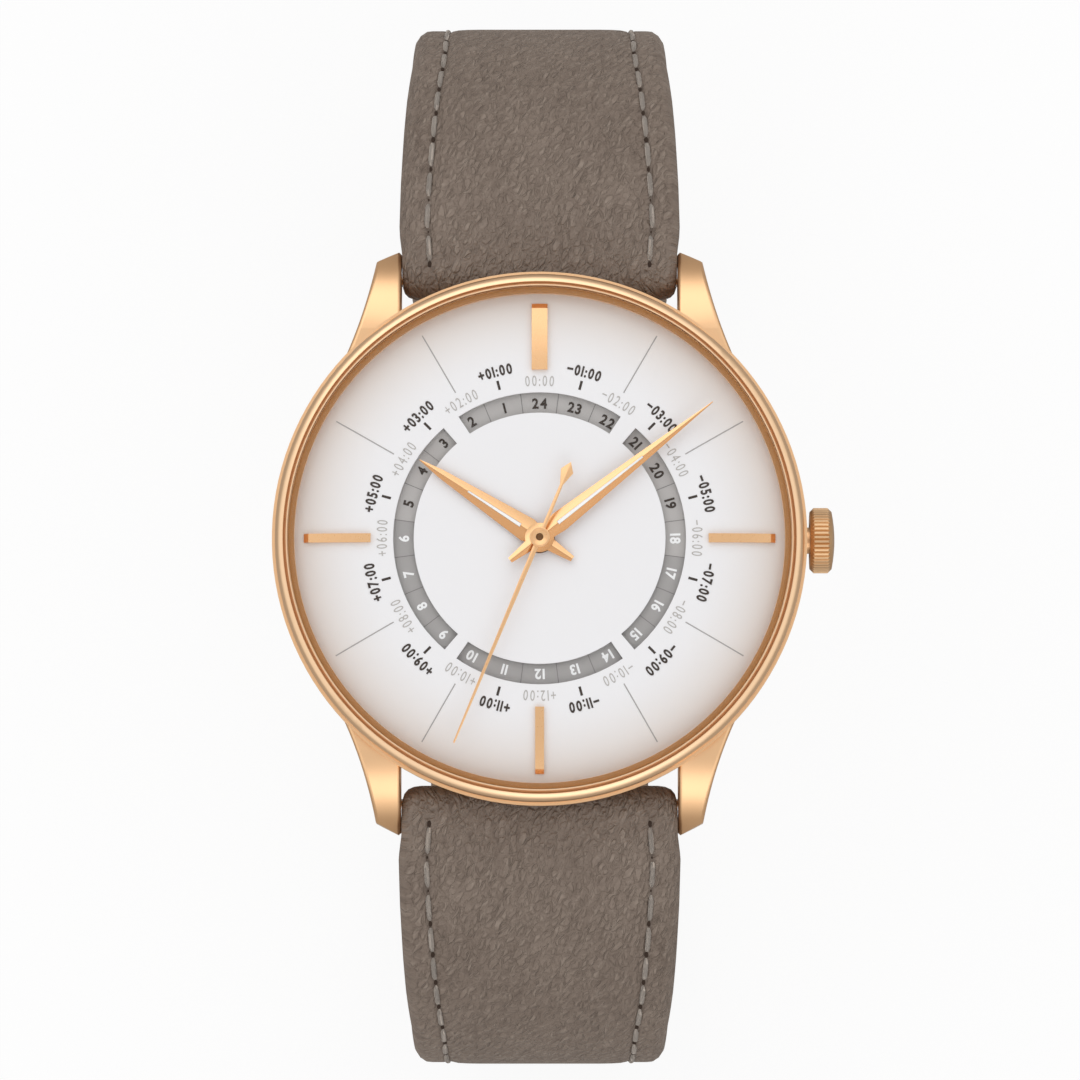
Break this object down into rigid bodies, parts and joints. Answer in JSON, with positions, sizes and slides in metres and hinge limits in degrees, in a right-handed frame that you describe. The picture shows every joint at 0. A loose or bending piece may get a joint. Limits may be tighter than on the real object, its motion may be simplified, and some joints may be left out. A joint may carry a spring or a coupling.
{
  "type": "world time watch",
  "caption": "Round automatic world time wristwatch with a 24 hour disc, fluted crown, glass back and an open two-piece leather strap with pin buckle.",
  "frame": {"origin": "centre of the case back glass's outer face, on the dial's axis", "axes": "+Z out of the dial, +Y towards 12 o'clock, +X towards the crown at 3 o'clock"},
  "size_m": [0.0425, 0.0809, 0.0667],
  "materials": {
    "rose_gold_steel": "polished, rose gold coated",
    "sapphire_glass": "polished, coated against glare",
    "gasket_rubber": "moulded",
    "dial_lacquer": "silvered, satin",
    "disc_paint": "grey, satin",
    "gold_trim": "rose gold plated, polished",
    "nickel_plate": "nickel plated, grained",
    "gilt_brass": "gilt",
    "movement_steel": "hardened and polished",
    "blued_steel": "blued",
    "ruby": "polished",
    "lume_white": "luminous paint",
    "strap_leather": "taupe calf, fine grain",
    "ring_plastic": "moulded"
  },
  "bodies": {
    "case": {"mid_case": "rose_gold_steel", "bezel": "rose_gold_steel", "crystal": "sapphire_glass", "crystal_gasket": "gasket_rubber", "case_back_ring": "rose_gold_steel", "case_back_glass": "sapphire_glass", "case_back_gasket": "gasket_rubber", "case_back_screws": "movement_steel", "crown_tube": "rose_gold_steel", "movement_ring": "ring_plastic", "dial": "dial_lacquer", "hour_markers": "gold_trim", "main_plate": "nickel_plate", "barrel_bridge": "nickel_plate", "train_bridge": "nickel_plate", "balance_cock": "nickel_plate", "pallet_bridge": "nickel_plate", "jewels": "ruby", "movement_screws": "blued_steel", "rotor_bearing": "movement_steel", "spring_bar_12": "movement_steel", "spring_bar_6": "movement_steel", "hairspring": "blued_steel"},
    "strap_12": {"strap_short": "strap_leather", "fixed_keeper": "strap_leather"},
    "keeper": {"free_keeper": "strap_leather"},
    "buckle": {"buckle_frame": "rose_gold_steel", "buckle_bar": "movement_steel"},
    "tongue": {"buckle_tongue": "rose_gold_steel"},
    "strap_6": {"strap_long": "strap_leather"},
    "winding": {"winding_pinion": "movement_steel", "sliding_clutch": "movement_steel"},
    "crown_body": {"stem": "movement_steel", "crown": "rose_gold_steel", "crown_gasket": "gasket_rubber"},
    "crown_wheel_body": {"crown_wheel": "movement_steel"},
    "ratchet": {"ratchet_wheel": "movement_steel", "barrel_arbor": "movement_steel"},
    "click_body": {"click": "movement_steel"},
    "barrel_body": {"barrel": "gilt_brass", "mainspring": "movement_steel"},
    "centre": {"centre_wheel": "gilt_brass"},
    "third": {"third_wheel": "gilt_brass"},
    "seconds": {"fourth_wheel": "gilt_brass", "second_hand": "gold_trim"},
    "escape": {"escape_wheel": "movement_steel"},
    "fork": {"pallet_fork": "movement_steel"},
    "balance": {"balance_wheel": "gilt_brass"},
    "minutes": {"cannon_pinion": "movement_steel", "minute_hand": "gold_trim", "minute_hand_inlay": "lume_white"},
    "minute_transfer": {"minute_wheel": "gilt_brass"},
    "hours": {"hour_wheel": "gilt_brass", "hour_hand": "gold_trim", "hour_hand_inlay": "lume_white"},
    "disc_transfer": {"disc_drive_wheel": "gilt_brass"},
    "disc": {"hour_disc_24": "disc_paint"},
    "rotor_body": {"rotor": "nickel_plate"}
  },
  "joints": [
    {"name": "strap_12_swing", "type": "hinge", "parent": "case", "child": "strap_12", "pos_m": [0, 0.0204, 0.0022], "axis": [1, 0, 0], "range_deg": [0, 50]},
    {"name": "strap_6_swing", "type": "hinge", "parent": "case", "child": "strap_6", "pos_m": [0, -0.0204, 0.0022], "axis": [-1, 0, 0], "range_deg": [0, 50]},
    {"name": "buckle_swing", "type": "hinge", "parent": "strap_12", "child": "buckle", "pos_m": [0, 0.02077, -0.0549], "axis": [1, 0, 0], "range_deg": [-50, 50]},
    {"name": "tongue_swing", "type": "hinge", "parent": "buckle", "child": "tongue", "pos_m": [0, 0.02077, -0.0549], "axis": [1, 0, 0], "range_deg": [0, 80]},
    {"name": "keeper_slide", "type": "slide", "parent": "strap_12", "child": "keeper", "axis": [0, 0.5736, 0.8192], "range_m": [0, 0.0045]},
    {"name": "crown_spin", "type": "hinge", "parent": "case", "child": "winding", "pos_m": [0, 0, 0.0039], "axis": [1, 0, 0], "continuous": true},
    {"name": "crown_pull", "type": "slide", "parent": "winding", "child": "crown_body", "axis": [1, 0, 0], "range_m": [0, 0.0016]},
    {"name": "crown_wheel_spin", "type": "hinge", "parent": "case", "child": "crown_wheel_body", "pos_m": [0.00623, 0, 0], "axis": [0, 0, 1], "continuous": true},
    {"name": "ratchet_spin", "type": "hinge", "parent": "case", "child": "ratchet", "pos_m": [0.00158, 0.00588, 0], "axis": [0, 0, 1], "continuous": true},
    {"name": "click_rock", "type": "hinge", "parent": "case", "child": "click_body", "pos_m": [-0.00215, 0.01066, 0], "axis": [0, 0, 1], "range_deg": [0, 8]},
    {"name": "rotor_spin", "type": "hinge", "parent": "case", "child": "rotor_body", "pos_m": [0, 0, 0], "axis": [0, 0, 1], "continuous": true},
    {"name": "seconds_spin", "type": "hinge", "parent": "case", "child": "seconds", "pos_m": [0, 0, 0], "axis": [0, 0, 1], "continuous": true},
    {"name": "third_spin", "type": "hinge", "parent": "case", "child": "third", "pos_m": [-0.00381, -0.00139, 0], "axis": [0, 0, 1], "continuous": true},
    {"name": "centre_spin", "type": "hinge", "parent": "case", "child": "centre", "pos_m": [0, 0, 0], "axis": [0, 0, 1], "continuous": true},
    {"name": "barrel_spin", "type": "hinge", "parent": "case", "child": "barrel_body", "pos_m": [0.00158, 0.00588, 0], "axis": [0, 0, 1], "continuous": true},
    {"name": "escape_spin", "type": "hinge", "parent": "case", "child": "escape", "pos_m": [-0.00069, -0.0039, 0], "axis": [0, 0, 1], "continuous": true},
    {"name": "fork_rock", "type": "hinge", "parent": "case", "child": "fork", "pos_m": [-0.00219, -0.00605, 0], "axis": [0, 0, 1], "range_deg": [-5, 5]},
    {"name": "balance_swing", "type": "hinge", "parent": "case", "child": "balance", "pos_m": [-0.00369, -0.00819, 0], "axis": [0, 0, 1], "range_deg": [-270, 270], "stiffness_Nm_per_rad": 0.00000025},
    {"name": "minutes_spin", "type": "hinge", "parent": "case", "child": "minutes", "pos_m": [0, 0, 0], "axis": [0, 0, 1], "continuous": true},
    {"name": "minute_transfer_spin", "type": "hinge", "parent": "case", "child": "minute_transfer", "pos_m": [-0.00197, -0.00138, 0], "axis": [0, 0, 1], "continuous": true},
    {"name": "hours_spin", "type": "hinge", "parent": "case", "child": "hours", "pos_m": [0, 0, 0], "axis": [0, 0, 1], "continuous": true},
    {"name": "disc_transfer_spin", "type": "hinge", "parent": "case", "child": "disc_transfer", "pos_m": [0, 0.00225, 0], "axis": [0, 0, 1], "continuous": true},
    {"name": "disc_spin", "type": "hinge", "parent": "case", "child": "disc", "pos_m": [0, 0, 0], "axis": [0, 0, 1], "continuous": true}
  ],
  "couplings": [
    {"joint": "crown_wheel_spin", "follows": "crown_spin", "ratio": 0.53846},
    {"joint": "ratchet_spin", "follows": "crown_spin", "ratio": -0.28571},
    {"joint": "third_spin", "follows": "seconds_spin", "ratio": -0.13333},
    {"joint": "centre_spin", "follows": "seconds_spin", "ratio": 0.016667},
    {"joint": "barrel_spin", "follows": "seconds_spin", "ratio": -0.0027778},
    {"joint": "escape_spin", "follows": "seconds_spin", "ratio": -10},
    {"joint": "minute_transfer_spin", "follows": "minutes_spin", "ratio": -0.33333},
    {"joint": "hours_spin", "follows": "minutes_spin", "ratio": 0.083333},
    {"joint": "disc_transfer_spin", "follows": "minutes_spin", "ratio": -0.055556},
    {"joint": "disc_spin", "follows": "minutes_spin", "ratio": 0.041667}
  ]
}
